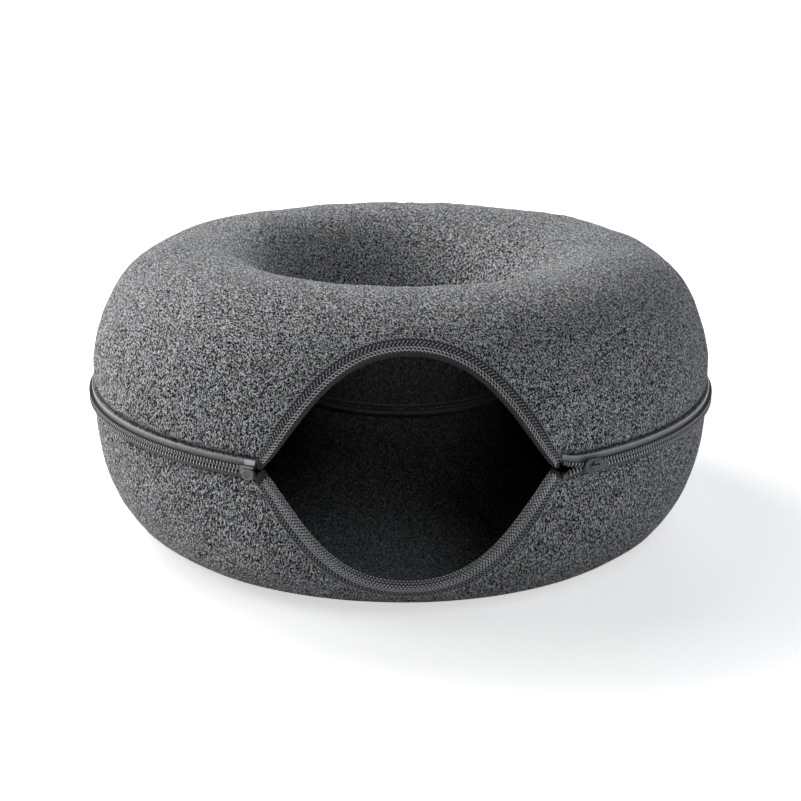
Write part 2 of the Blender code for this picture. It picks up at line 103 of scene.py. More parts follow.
def wall_at(quarter, turn, depth=0.0):
    """Radius, height and the outline's normal on a quarter of the wall, this deep in the felt."""
    crest, seam, rise, roundness = quarter
    reach = seam - crest
    across = np.clip(np.cos(turn), 0.0, 1.0) ** (2 / roundness)
    up = np.clip(np.sin(turn), 0.0, 1.0) ** (2 / roundness)
    outward = across ** (roundness - 1) / reach
    upward = up ** (roundness - 1) / rise
    size = np.hypot(outward, upward)
    outward, upward = outward / size, upward / size
    return crest + reach * across - depth * outward, rise * up - depth * upward, outward, upward


def on_front(x, height):
    """Places on the outside of the ring's front, with the wall's outward normals there."""
    upper = height >= 0
    crest = np.where(upper, crest_radius, foot_radius + foot_width / 2)
    rise = np.where(upper, upper_rise, -seam_height)
    roundness = np.where(upper, upper_roundness, lower_roundness)
    turn = np.arcsin(np.clip(height / rise, 0.0, 1.0) ** (roundness / 2))
    radius, level, outward, upward = wall_at((crest, ring_radius, rise, roundness), turn)
    angle = np.arcsin(x / radius)
    normals = np.stack([outward * np.sin(angle), -outward * np.cos(angle), upward], axis=-1)
    return ring_points(radius, angle, level), normals


def entrance_rim(rise, steps=120):
    """Half of the entrance's edge, from its right corner to its left: places, the way outwards, and run."""
    side = copysign(1, rise)
    corner = np.array([entrance_half_width, side * entrance_corner_gap / 2])
    crown = np.array([0.0, rise])
    handle = corner_handle * abs(rise)
    lean = handle * np.array([-cos(entrance_corner_angle), side * sin(entrance_corner_angle)])
    shoulder = np.array([crown_handle * entrance_half_width, rise])
    t = np.linspace(0, 1, steps + 1)[:, None]
    s = 1 - t
    curve = s**3 * corner + 3 * s**2 * t * (corner + lean) + 3 * s * t**2 * shoulder + t**3 * crown
    outline = np.vstack([curve, (curve * (-1, 1))[-2::-1]])
    points, normals = on_front(*outline.T)
    away = unit(np.cross(normals, np.gradient(points, axis=0)))
    middle = ring_points(ring_radius, 0.0, 0.0)
    away *= np.sign(((points - middle) * away).sum(axis=1))[:, None]
    run = np.concatenate([[0.0], np.cumsum(np.linalg.norm(np.diff(points, axis=0), axis=1))])
    return points, away, run


def beside_rim(rim, run, distance, lift):
    """Places this far along the rim, this far from its edge over the wall, and this far out from the felt."""
    points, away, runs = rim
    run, distance, lift = np.broadcast_arrays(run, distance, lift)
    base = np.stack([np.interp(run, runs, points[:, i]) for i in range(3)], axis=-1)
    across = unit(np.stack([np.interp(run, runs, away[:, i]) for i in range(3)], axis=-1))
    base = base + across * distance[..., None]
    places, normals = on_front(base[..., 0], base[..., 2] - seam_height)
    return places + normals * lift[..., None], normals


rims = {"upper": entrance_rim(entrance_rise), "lower": entrance_rim(-entrance_drop)}


def mesh_piece(name, points, faces, material=None, sharp=40):
    """A piece with these points and faces, facing out and shaded smooth over its shallow edges."""
    body = bmesh.new()
    made = [body.verts.new(point) for point in np.asarray(points, dtype=float).tolist()]
    for face in faces:
        body.faces.new([made[i] for i in face])
    bmesh.ops.recalc_face_normals(body, faces=body.faces)
    mesh = bpy.data.meshes.new(name)
    body.to_mesh(mesh)
    body.free()
    mesh.shade_smooth()
    mesh.set_sharp_from_angle(angle=radians(sharp))
    if material:
        mesh.materials.append(material)
    piece = bpy.data.objects.new(name, mesh)
    bpy.context.scene.collection.objects.link(piece)
    return piece


def grid_faces(rows, columns, rows_join=False):
    """Faces between neighbouring rows of points, each row closed on itself."""
    i = np.arange(rows if rows_join else rows - 1)[:, None]
    j = np.arange(columns)[None, :]
    here = i * columns
    there = (i + 1) % rows * columns
    following = (j + 1) % columns
    return np.stack([here + j, there + j, there + following, here + following], axis=-1).reshape(-1, 4)


def entrance_distance(points):
    """How far each point is from the entrance's edge."""
    edge = np.vstack([rims["upper"][0], rims["lower"][0]])[::3]
    nearest = np.full(len(points), np.inf)
    for place in edge:
        nearest = np.minimum(nearest, np.linalg.norm(points - place, axis=1))
    return nearest


# How many waves of a kind, their shortest and longest length, and their height
press_waves = ((14, 0.045, 0.15, 0.00026), (16, 0.011, 0.024, 0.00006))


def pressed_waves(points):
    """How far the hot press left the sheet from its true shape, off the seam, the foot and the entrance."""
    rng = np.random.default_rng(7)
    rise = np.zeros(len(points))
    for count, shortest, longest, size in press_waves:
        for _ in range(count):
            way = unit(rng.normal(size=3)) * tau / rng.uniform(shortest, longest)
            rise += size * np.sin(points @ way + rng.uniform(0, tau))
    free = np.clip((np.abs(points[:, 2] - seam_height) - 0.011) / 0.02, 0, 1)
    free *= np.clip((points[:, 2] - 0.002) / 0.02, 0, 1)
    free *= np.clip((entrance_distance(points) - 0.010) / 0.02, 0, 1)
    return rise * free


# Where the tapes' sewing draws the felt in: off the seam, how deep, and how far it reaches away from the tape
pressed_line = {"upper": 0.0082, "lower": 0.0070}
pressed_depth = {"upper": 0.0018, "lower": 0.0010}
pressed_reach = {"upper": 0.0030, "lower": 0.0020}
pressed_width = 0.0006


def wall_outline(half, steps=(34, 18)):
    """The felt's closed cross-section, outside then inside: radius, height and the wall's normal."""
    faces = []
    near_line = pressed_line[half] + np.append(
        pressed_width * np.array([-2.0, -1.2, -0.6, 0.0]),
        pressed_reach[half] * np.array([0.2, 0.45, 0.75, 1.1, 1.5, 2.0]),
    )
    for depth, count in zip((0.0, felt), steps):
        sides = []
        for place in ("outer", "inner"):
            rise, roundness = quarters[half, place][2:]
            first = asin((felt_setback / abs(rise)) ** (roundness / 2))
            turns = np.linspace(first, pi / 2, count)
            if depth == 0:
                turns = np.sort(np.append(turns, np.arcsin((near_line / abs(rise)) ** (roundness / 2))))
            rows = np.stack(wall_at(quarters[half, place], turns, depth), axis=1)
            rows[0, 1] = copysign(felt_setback, rise)
            if depth == 0:
                off_line = np.abs(rows[:, 1]) - pressed_line[half]
                off_line /= np.where(off_line > 0, pressed_reach[half], pressed_width)
                rows[:, :2] -= rows[:, 2:] * (pressed_depth[half] * np.exp(-(off_line**2)))[:, None]
            sides.append(rows)
        joined = 1 if half == "upper" else 0
        faces.append(np.vstack([sides[0], sides[1][::-1][joined:]]))
    return np.vstack([faces[0], faces[1][::-1]]), len(faces[0])


# How far the die's shape goes out from the felt's face, and in
plug_lifts = np.array([0.012, -0.017])


def entrance_plug():
    """What the die takes from the felt at the entrance, as a shape to cut with."""
    loops = []
    for lift in plug_lifts:
        over = beside_rim(rims["upper"], rims["upper"][2], edging_nose + edging_gap, lift)[0]
        under = beside_rim(rims["lower"], rims["lower"][2], edging_nose + edging_gap, lift)[0]
        loops.append(np.vstack([over, under[::-1]]))
    count = len(loops[0])
    tips = ring_points(ring_radius + plug_lifts, 0.0, 0.0)
    faces = grid_faces(2, count).tolist()
    for i in range(count):
        faces.append((2 * count, (i + 1) % count, i))
        faces.append((2 * count + 1, count + i, count + (i + 1) % count))
    return mesh_piece("entrance_plug", np.vstack(loops + [tips]), faces)


def cut_out(piece, plug, sharp=40):
    """Cuts the plug's shape from the piece, for good."""
    cut = piece.modifiers.new("cut", "BOOLEAN")
    cut.operation = "DIFFERENCE"
    cut.solver = "EXACT"
    cut.object = plug
    bpy.context.view_layer.update()
    done = bpy.data.meshes.new_from_object(piece.evaluated_get(bpy.context.evaluated_depsgraph_get()))
    piece.modifiers.clear()
    piece.data = done
    done.shade_smooth()
    done.set_sharp_from_angle(angle=radians(sharp))


def shader_node(tree, kind, inputs=None, **settings):
    """A node with its settings, whose inputs hold values or come from other nodes' outputs."""
    made = tree.nodes.new("ShaderNode" + kind)
    for name, value in settings.items():
        setattr(made, name, value)
    for socket, value in (inputs or {}).items():
        if isinstance(value, bpy.types.NodeSocket):
            tree.links.new(value, made.inputs[socket])
        else:
            made.inputs[socket].default_value = value
    return made


def maths(tree, operation, *values):
    return shader_node(tree, "Math", dict(enumerate(values)), operation=operation).outputs[0]


def vector_maths(tree, operation, *values):
    return shader_node(tree, "VectorMath", dict(enumerate(values)), operation=operation).outputs


def ramp(tree, value, low, high, to_low=0.0, to_high=1.0):
    """The value between low and high, spread over to_low to to_high and held at those ends."""
    inputs = {"Value": value, "From Min": low, "From Max": high, "To Min": to_low, "To Max": to_high}
    return shader_node(tree, "MapRange", inputs).outputs["Result"]


def mixed(tree, share, first, second):
    """Two colours mixed by a share."""
    inputs = {"Factor": share, 6: first, 7: second}
    return shader_node(tree, "Mix", inputs, data_type="RGBA").outputs[2]


def spot(tree):
    """The place on the piece, in the frame at rest."""
    return shader_node(tree, "TexCoord").outputs["Object"]


def noise(tree, place, scale, detail, output="Fac"):
    return shader_node(tree, "TexNoise", {"Vector": place, "Scale": scale, "Detail": detail}).outputs[output]


def effect_group(name, inputs, outputs):
    """An empty effect with named number inputs and outputs, and its two end nodes."""
    group = bpy.data.node_groups.new(name, "ShaderNodeTree")
    for socket, value in inputs.items():
        group.interface.new_socket(socket, in_out="INPUT", socket_type="NodeSocketFloat").default_value = value
    for socket in outputs:
        group.interface.new_socket(socket, in_out="OUTPUT", socket_type="NodeSocketFloat")
    return group, group.nodes.new("NodeGroupInput").outputs, group.nodes.new("NodeGroupOutput").inputs


def place_effect(tree, group, **values):
    """One use of an effect in a material, with its own values."""
    made = tree.nodes.new("ShaderNodeGroup")
    made.node_tree = group
    for socket, value in values.items():
        made.inputs[socket.replace("_", " ")].default_value = value
    return made.outputs


def matted_fibres():
    """Short curled light and dark fibres matted in every direction, over soft lumps in the sheet."""
    tree, given, put = effect_group("matted fibres", {"Fineness": 1.0}, ("Light", "Dark", "Lumps", "Height"))
    place = spot(tree)
    curl = noise(tree, place, 110.0, 2.0, "Color")
    bent = vector_maths(tree, "SUBTRACT", curl, (0.5,) * 3)[0]
    bent = vector_maths(tree, "MULTIPLY_ADD", bent, (0.004,) * 3, place)[0]

    def tufts(turn, shift, scale, low, high):
        """Where tufts of one shade lie, drawn out one way."""
        drawn = {"Vector": bent, "Rotation": turn, "Location": shift, "Scale": (1.0, 1.0, 3.6)}
        turned = shader_node(tree, "Mapping", drawn, vector_type="TEXTURE").outputs[0]
        scale = maths(tree, "MULTIPLY", given["Fineness"], scale)
        return ramp(tree, noise(tree, turned, scale, 1.0), low, high)

    light = maths(
        tree, "MAXIMUM",
        tufts((0.3, 0.2, 0.0), (0.31, 0.0, 0.1), 1090.0, 0.56, 0.60),
        tufts((0.9, -0.8, 0.4), (0.0, 0.52, 0.2), 970.0, 0.60, 0.64),
    )
    light = maths(tree, "MAXIMUM", light, tufts((-1.2, 0.6, 0.7), (0.6, 0.3, 0.9), 1030.0, 0.60, 0.64))
    dark = maths(
        tree, "MAXIMUM",
        tufts((-0.4, 0.5, 0.0), (0.7, 0.1, 0.4), 1050.0, 0.505, 0.465),
        tufts((1.3, 0.9, 0.3), (0.2, 0.9, 0.6), 930.0, 0.485, 0.445),
    )
    lumps = noise(tree, place, 170.0, 3.0)
    height = maths(tree, "ADD", maths(tree, "SUBTRACT", light, dark), lumps)
    for name, value in (("Light", light), ("Dark", dark), ("Lumps", lumps), ("Height", height)):
        tree.links.new(value, put[name])
    return tree


fibres = matted_fibres()


def finish(name, roughness, **constants):
    """A material with its shader, and the sockets that are the same all over set on it."""
    material = bpy.data.materials.new(name)
    material.use_nodes = True
    tree = material.node_tree
    shader = tree.nodes["Principled BSDF"]
    shader.inputs["Roughness"].default_value = roughness
    for socket, value in constants.items():
        shader.inputs[socket.replace("_", " ")].default_value = value
    return material, tree, shader


def raise_by(tree, shader, height, distance, strength=1.0):
    """Relief on the surface from a height between 0 and 1."""
    inputs = {"Height": height, "Distance": distance, "Strength": strength}
    tree.links.new(shader_node(tree, "Bump", inputs).outputs[0], shader.inputs["Normal"])


def felt_finish(name, dark, thin, low, high, light, tape_shade=0.0, wall_shade_rise=0.0):
    """Needle-punched felt: dark wool and pale wool fibres blended, with cloudy patches of each."""

    def grey(shade):
        return 0.99 * shade, shade, 1.025 * shade, 1

    material, tree, shader = finish(
        name, 0.92, Sheen_Weight=0.08, Sheen_Roughness=0.6, Specular_IOR_Level=0.2
    )
    matted = place_effect(tree, fibres, Fineness=1.0)
    place = spot(tree)
    cloud = noise(tree, place, 16.0, 4.0)
    body = mixed(tree, ramp(tree, cloud, 0.36, 0.64), grey(low), grey(high))
    body = mixed(tree, ramp(tree, matted["Lumps"], 0.34, 0.58, 0.75, 0.0), body, grey(thin))
    body = mixed(tree, matted["Dark"], body, grey(dark))
    body = mixed(tree, matted["Light"], body, grey(light))
    # Painted shade beside the zips' tapes: a dark line on each groove, and softer shade round the upper one
    height = shader_node(tree, "SeparateXYZ", {"Vector": place}).outputs["Z"]
    over = maths(tree, "SUBTRACT", height, seam_height + pressed_line["upper"])
    under = maths(tree, "SUBTRACT", seam_height - pressed_line["lower"], height)
    off = maths(tree, "MAXIMUM", over, under)
    line = ramp(tree, maths(tree, "ABSOLUTE", off), 0.0004, 0.0012)
    beside = ramp(tree, maths(tree, "ABSOLUTE", over), 0.0012, 0.0045, 0.72, 1.0)
    shade = maths(tree, "SUBTRACT", 1.0, maths(tree, "MINIMUM", line, beside))
    body = mixed(tree, maths(tree, "MULTIPLY", shade, tape_shade), body, grey(0.012))
    # Inside, painted shade darkens the lower half's wall round the hole above its floor, more so higher up
    body = mixed(tree, ramp(tree, height, 0.020, 0.080, 0.0, wall_shade_rise), body, grey(0.014))
    tree.links.new(body, shader.inputs["Base Color"])
    tree.links.new(ramp(tree, matted["Light"], 0.0, 1.0, 0.96, 0.82), shader.inputs["Roughness"])
    raise_by(tree, shader, matted["Height"], 0.0008, 1.0)
    return material


# Inside, each half gets its own copy of the felt as painted light and shade: duller and darker above, paler below
felt_material = felt_finish("heather_felt", 0.002, 0.018, 0.050, 0.125, 0.95, tape_shade=0.85)
inside_lit_and_shaded_felt = {
    "upper": felt_finish("flattened_felt_upper", 0.045, 0.075, 0.112, 0.140, 0.25),
    "lower": felt_finish("flattened_felt_lower", 0.078, 0.130, 0.205, 0.265, 0.56, wall_shade_rise=0.50),
}
plug = entrance_plug()
ring_steps = 420
for half in ("upper", "lower"):
    outline, outside_rows = wall_outline(half)
    angle = np.linspace(0, tau, ring_steps, endpoint=False)[:, None]
    walls = ring_points(outline[:, 0], angle, outline[:, 1]).reshape(-1, 3)
    outward = np.broadcast_to(outline[:, 2], (ring_steps, len(outline)))
    upward = np.broadcast_to(outline[:, 3], (ring_steps, len(outline)))
    ways = np.stack([outward * np.sin(angle), -outward * np.cos(angle), upward], axis=-1).reshape(-1, 3)
    walls = walls + ways * pressed_waves(walls)[:, None]
    faces = grid_faces(ring_steps, len(outline), rows_join=True)
    shell = mesh_piece(half + "_felt", walls, faces, felt_material)
    shell.data.materials.append(inside_lit_and_shaded_felt[half])
    column = np.arange(ring_steps * len(outline)) % len(outline)
    shell.data.polygons.foreach_set("material_index", (column >= outside_rows - 1).astype(np.int32))
    cut_out(shell, plug)
    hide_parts(half + "_shell")
    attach(shell, half + "_half")
bpy.data.objects.remove(plug)


# The entrance edging: a strip of dark felt folded over the cut edge and overlocked on. Four rows of thread go
# round its nose, two slanted rows and two finer ones run beside the rim, and a row of short stitches closes its
# outer edge. It narrows to a rounded tongue at each corner.
edging_width = 0.0086
edging_widening = 0.0028
edging_thickness = 0.0009
edging_tongue = 0.0100
edging_tip_width = 0.0025
edging_under = -felt - 0.0010
edging_top = edging_gap + edging_thickness
edging_low = edging_under - edging_thickness


def edging_reach(rim, run):
    """How wide the strip is at this place along the rim: rounded at its two ends, widest in the middle."""
    from_end = np.minimum(run, rim[2][-1] - run)
    roundness = np.sqrt(1 - (1 - np.minimum(from_end / edging_tongue, 1)) ** 2)
    growing = np.clip((from_end - edging_tongue) / 0.03, 0, 1)
    growing = growing**2 * (3 - 2 * growing)
    return np.maximum(edging_width * roundness, edging_tip_width) + edging_widening * growing


def round_nose(turn):
    """A place on the strip's rolled nose, turned outwards from its middle: distance from the rim, and lift."""
    middle = (edging_top + edging_low) / 2
    return edging_nose * (1 - np.cos(turn)), middle + (edging_top - middle) * np.sin(turn)


def swept(name, places, material, sharp=40):
    """A body through like-sized loops of points, closed at both ends."""
    rows, columns = places.shape[:2]
    ends = [list(range(columns)), list(range((rows - 1) * columns, rows * columns))[::-1]]
    faces = grid_faces(rows, columns).tolist() + ends
    return mesh_piece(name, places.reshape(-1, 3), faces, material, sharp)


def many_swept(name, places, material, sharp):
    """Many small bodies as one piece, each through its own loops of points."""
    count, rows, columns = places.shape[:3]
    size = rows * columns
    faces = (grid_faces(rows, columns)[None] + size * np.arange(count)[:, None, None]).reshape(-1, 4).tolist()
    for start in range(0, count * size, size):
        faces.append(list(range(start, start + columns)))
        faces.append(list(range(start + size - columns, start + size)))
    return mesh_piece(name, places.reshape(-1, 3), faces, material, sharp)


def edging_strip(half, material):
    """The folded strip, with a soft rolled nose at the rim."""
    rim = rims[half]
    run = np.linspace(0, rim[2][-1], 260)
    reach = edging_reach(rim, run)[:, None]
    low = edging_low
    # Shares of the way out from the nose to the strip's outer edge, and how far out from the felt
    front = [
        (1.0, edging_gap), (1.0, edging_gap + 0.0002), (0.95, 0.6 * edging_top), (0.8, 0.85 * edging_top),
        (0.6, edging_top), (0.3, edging_top),
    ]
    back = [(0.3, low), (0.97, low), (1.0, low + 0.3 * edging_thickness), (1.0, edging_under)]
    distance = [share * reach + (1 - share) * edging_nose for share, _ in front]
    lift = [out for _, out in front]
    for turn in np.linspace(pi / 2, -pi / 2, 11):
        off, out = round_nose(turn)
        distance.append(off + 0 * reach)
        lift.append(out)
    distance += [share * reach + (1 - share) * edging_nose for share, _ in back]
    lift += [out for _, out in back]
    distance += [edging_nose + 0 * reach, edging_nose + 0 * reach]
    lift += [edging_under, edging_gap]
    places = beside_rim(rim, run[:, None], np.hstack(distance), np.array(lift)[None, :])[0]
    return swept(half + "_entrance_edging", places, material)


def threads(name, paths, ups, thickness, material, sides=5):
    """Round threads along these paths, each row of points one thread. ups are normals to stand clear of."""
    paths = np.asarray(paths)
    forward = unit(np.gradient(paths, axis=1))
    across = unit(np.cross(forward, ups))
    over = np.cross(across, forward)
    turn = np.linspace(0, tau, sides, endpoint=False)
    ring = across[:, :, None] * np.cos(turn)[:, None] + over[:, :, None] * np.sin(turn)[:, None]
    return many_swept(name, paths[:, :, None] + ring * thickness / 2, material, sharp=70)


def stitch_row(half, row, distance, lift, pitch, length, slant, thickness, material):
    """One row of short threads round the rim, each slanted across the row and sunk at both its ends."""
    rim = rims[half]
    clear = edging_tongue * 0.4
    starts = np.arange(clear + pitch * 0.5 * (row % 2), rim[2][-1] - clear - pitch, pitch)
    reach = np.ones((len(starts), 1))
    if distance > edging_nose:
        reach = edging_reach(rim, starts)[:, None] / (edging_width + edging_widening)
    along = np.array([-0.5, -0.32, 0.0, 0.32, 0.5])
    run = starts[:, None] + length * along
    across = distance * reach + slant * along
    over = lift + thickness * np.array([-0.5, 0.15, 0.35, 0.15, -0.5])
    paths, ups = beside_rim(rim, run, across, over)
    return threads(f"{half}_stitches_{row}", paths, ups, thickness, material)


def thread_finish(name, shade):
    """Spun polyester thread, paler along the tops of its twist."""
    material, tree, shader = finish(name, 0.6, Sheen_Weight=0.3, Specular_IOR_Level=0.4)
    twist = noise(tree, spot(tree), 900.0, 2.0)
    worn = noise(tree, spot(tree), 45.0, 2.0)
    dim = tuple(0.6 * value for value in shade)
    colour = mixed(tree, ramp(tree, twist, 0.3, 0.55), (*dim, 1), (*shade, 1))
    colour = mixed(tree, ramp(tree, worn, 0.4, 0.75, 0.0, 0.5), colour, (*dim, 1))
    tree.links.new(colour, shader.inputs["Base Color"])
    raise_by(tree, shader, twist, 0.00015)
    return material


def edging_finish():
    """Thin dark felt, ironed flat, with the same fibres as the ring but closer."""
    material, tree, shader = finish("edging_felt", 0.9, Sheen_Weight=0.2, Specular_IOR_Level=0.25)
    matted = place_effect(tree, fibres, Fineness=1.3)
    body = mixed(tree, matted["Dark"], (0.022, 0.022, 0.024, 1), (0.006, 0.006, 0.007, 1))
    body = mixed(tree, matted["Light"], body, (0.085, 0.085, 0.092, 1))
    tree.links.new(body, shader.inputs["Base Color"])
    tree.links.new(ramp(tree, matted["Light"], 0.0, 1.0, 0.95, 0.85), shader.inputs["Roughness"])
    raise_by(tree, shader, matted["Height"], 0.0003, 0.7)
    return material


edging_material = edging_finish()
pale_thread = thread_finish("pale_thread", (0.84, 0.84, 0.86))
dim_thread = thread_finish("dim_thread", (0.56, 0.56, 0.58))
# Rows on the nose: how far each is turned, how far all are sunk, and their pitch, length, slant and thickness
nose_turns = (-0.45, 0.1, 0.65, 1.2)
nose_sunk = 0.0002
nose_shape = (0.0027, 0.0013, 0.0, 0.0009)
# The upper nose rows are painted near-black as painted shade under the crown; the lower use pale thread
nose_threads = {"upper": thread_finish("dark_thread", (0.04, 0.04, 0.043)), "lower": pale_thread}
# Rows on the face: distance from the rim, pitch, length, slant, thickness and thread
face_rows = (
    (0.0020, 0.0026, 0.0025, 0.0013, 0.0008, pale_thread),
    (0.0040, 0.0026, 0.0025, 0.0013, 0.0008, pale_thread),
    (0.0060, 0.0026, 0.0010, -0.0014, 0.0007, dim_thread),
    (0.0080, 0.0026, 0.0010, -0.0014, 0.0007, dim_thread),
    (0.0106, 0.0026, 0.0019, 0.0010, 0.0007, dim_thread),
)
for half in ("upper", "lower"):
    strip = edging_strip(half, edging_material)
    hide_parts(half + "_arch_edging")
    pieces = [strip]
    for row, turn in enumerate(nose_turns):
        distance, lift = round_nose(turn)
        pieces.append(stitch_row(half, row, distance - nose_sunk, lift, *nose_shape, nose_threads[half]))
    for row, (distance, *shape) in enumerate(face_rows, len(nose_turns)):
        pieces.append(stitch_row(half, row, distance, edging_top, *shape))
    for piece in pieces:
        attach(piece, half + "_half")


# The zip tapes: woven polyester, sewn to the felt with one row of stitches above and one below the chain. The
# outer zip runs round the ring's outside from one corner of the entrance to the other, and a like one closes
# the hole. Each tape is a little thicker towards its outer edge, which catches the light.
tape_back = 0.0003
tape_front = 0.0011
tape_edge = 0.0008
upper_tape_width = 0.0067
lower_tape_width = 0.0055
teeth_face = 0.0014
teeth_top = 0.0040
teeth_edge = 0.0031
stop_length = 0.0030
box_length = 0.0080
pin_tail = 0.0030
slider_length = 0.0140
outer_end_margin = 0.0035
outer_slider_gap = 0.0135
outer_parting = 0.0035
inner_end_gap = 0.0125
inner_slider_gap = 0.0030
sewn_pitch = 0.0030
sewn_offset = 0.00165
sewn_thread = 0.00045


class Zip:
    """One zip on a face of the felt. Its slider closes it towards start, and its box is at end."""

    def __init__(self, name, radius, side, start, slider_gap, parting):
        self.name = name
        self.radius = radius
        self.side = side
        self.start = start
        self.end = tau - start + (tau if start > pi else 0)
        self.parting = parting
        self.stop_end = self.start + stop_length / radius
        self.slider = self.stop_end + (slider_gap + slider_length / 2) / radius
        self.closed = self.slider - slider_length / 2 / radius
        self.box = self.end - box_length / radius
        self.pin = self.box - pin_tail / radius

    def parted(self, angle):
        """How far each row has moved from the middle, ahead of the slider."""
        share = np.clip((self.closed - angle) / (self.closed - self.start), 0.0, 1.0)
        return self.parting * share**1.5

    def at(self, angle, row, height, out):
        """Places along a row, 1 for upper and -1 for lower, this far from the middle and out from the felt."""
        angle, height, out = np.broadcast_arrays(angle, height, out)
        return ring_points(self.radius + self.side * out, angle, row * (height + self.parted(angle)))

    def flat(self, angle, ahead, height, out):
        """Places in a frame that lies flat on the zip at one angle: ahead to start, up, and out."""
        ahead, height, out = np.broadcast_arrays(ahead, height, out)
        base = ring_points(self.radius + self.side * out, angle, height)
        return base + ahead[..., None] * np.array([-cos(angle), -sin(angle), 0.0])


entrance_corner = asin(entrance_half_width / ring_radius)
outer_start = entrance_corner + outer_end_margin / ring_radius
inner_start = pi + inner_end_gap / 2 / hole_radius
outer_zip = Zip("outer_zip", ring_radius, 1, outer_start, outer_slider_gap, outer_parting)
inner_zip = Zip("inner_zip", hole_radius, -1, inner_start, inner_slider_gap, 0.0)


def tape_section(width):
    """The tape's cross-section from its chain edge to its outer edge: height from the middle, and out."""
    end = tape_edge + width
    front = tape_front
    return np.array([
        (tape_edge, tape_back), (end - 0.0004, tape_back), (end, tape_back + 0.0004), (end, front + 0.0001),
        (end - 0.0002, front + 0.0003), (end - 0.0006, front + 0.0004), (end - 0.0015, front + 0.0004),
        (end - 0.0022, front + 0.0003), (end - 0.0034, front + 0.0002), (teeth_edge + 0.0002, front),
        (tape_edge, front),
    ])


def run_along(name, run, row, section, start, end, material, step=radians(1.2)):
    """A strip with this section along a zip."""
    angle = np.linspace(start, end, max(8, int((end - start) / step)))[:, None]
    return swept(name, run.at(angle, row, section[:, 0], section[:, 1]), material, sharp=50)


def woven_ribs():
    """Fine ribs of a woven tape, slanted one way and the other, on any face that stands round the ring."""
    tree, given, put = effect_group("woven ribs", {"Rib": 0.0007, "Radius": ring_radius}, ("Ribs", "Height"))
    split = shader_node(tree, "SeparateXYZ", {"Vector": spot(tree)}).outputs
    angle = maths(tree, "ARCTAN2", split["X"], maths(tree, "SUBTRACT", ring_y, split["Y"]))
    along = maths(tree, "DIVIDE", maths(tree, "MULTIPLY", angle, given["Radius"]), given["Rib"])
    over = maths(tree, "DIVIDE", split["Z"], given["Rib"])
    left = maths(tree, "SINE", maths(tree, "MULTIPLY", maths(tree, "ADD", along, over), tau / 2))
    right = maths(tree, "SINE", maths(tree, "MULTIPLY", maths(tree, "SUBTRACT", along, over), tau / 2))
    ribs = maths(tree, "MULTIPLY_ADD", maths(tree, "MULTIPLY", left, right), 0.5, 0.5)
    tree.links.new(ribs, put["Ribs"])
    tree.links.new(maths(tree, "POWER", ribs, 0.6), put["Height"])
    return tree


def standing_out():
    """How far a place stands out from the felt it is on, outside the ring or inside its hole, as 0 to 1."""
    tree, given, put = effect_group("standing out", {"Low": teeth_face, "High": teeth_top}, ("Raised", "Facing"))
    here = shader_node(tree, "TexCoord").outputs
    level = vector_maths(tree, "MULTIPLY_ADD", here["Object"], (1.0, 1.0, 0.0), (0.0, -ring_y, 0.0))[0]
    away = vector_maths(tree, "NORMALIZE", level)[0]
    facing = vector_maths(tree, "DOT_PRODUCT", away, here["Normal"])["Value"]
    tree.links.new(ramp(tree, maths(tree, "ABSOLUTE", facing), 0.35, 0.85), put["Facing"])
    radius = vector_maths(tree, "LENGTH", level)["Value"]
    off_middle = maths(tree, "ABSOLUTE", maths(tree, "SUBTRACT", radius, (ring_radius + hole_radius) / 2))
    out = maths(tree, "SUBTRACT", off_middle, (ring_radius - hole_radius) / 2)
    tree.links.new(ramp(tree, out, given["Low"], given["High"]), put["Raised"])
    return tree


weave = woven_ribs()
raised_faces = standing_out()


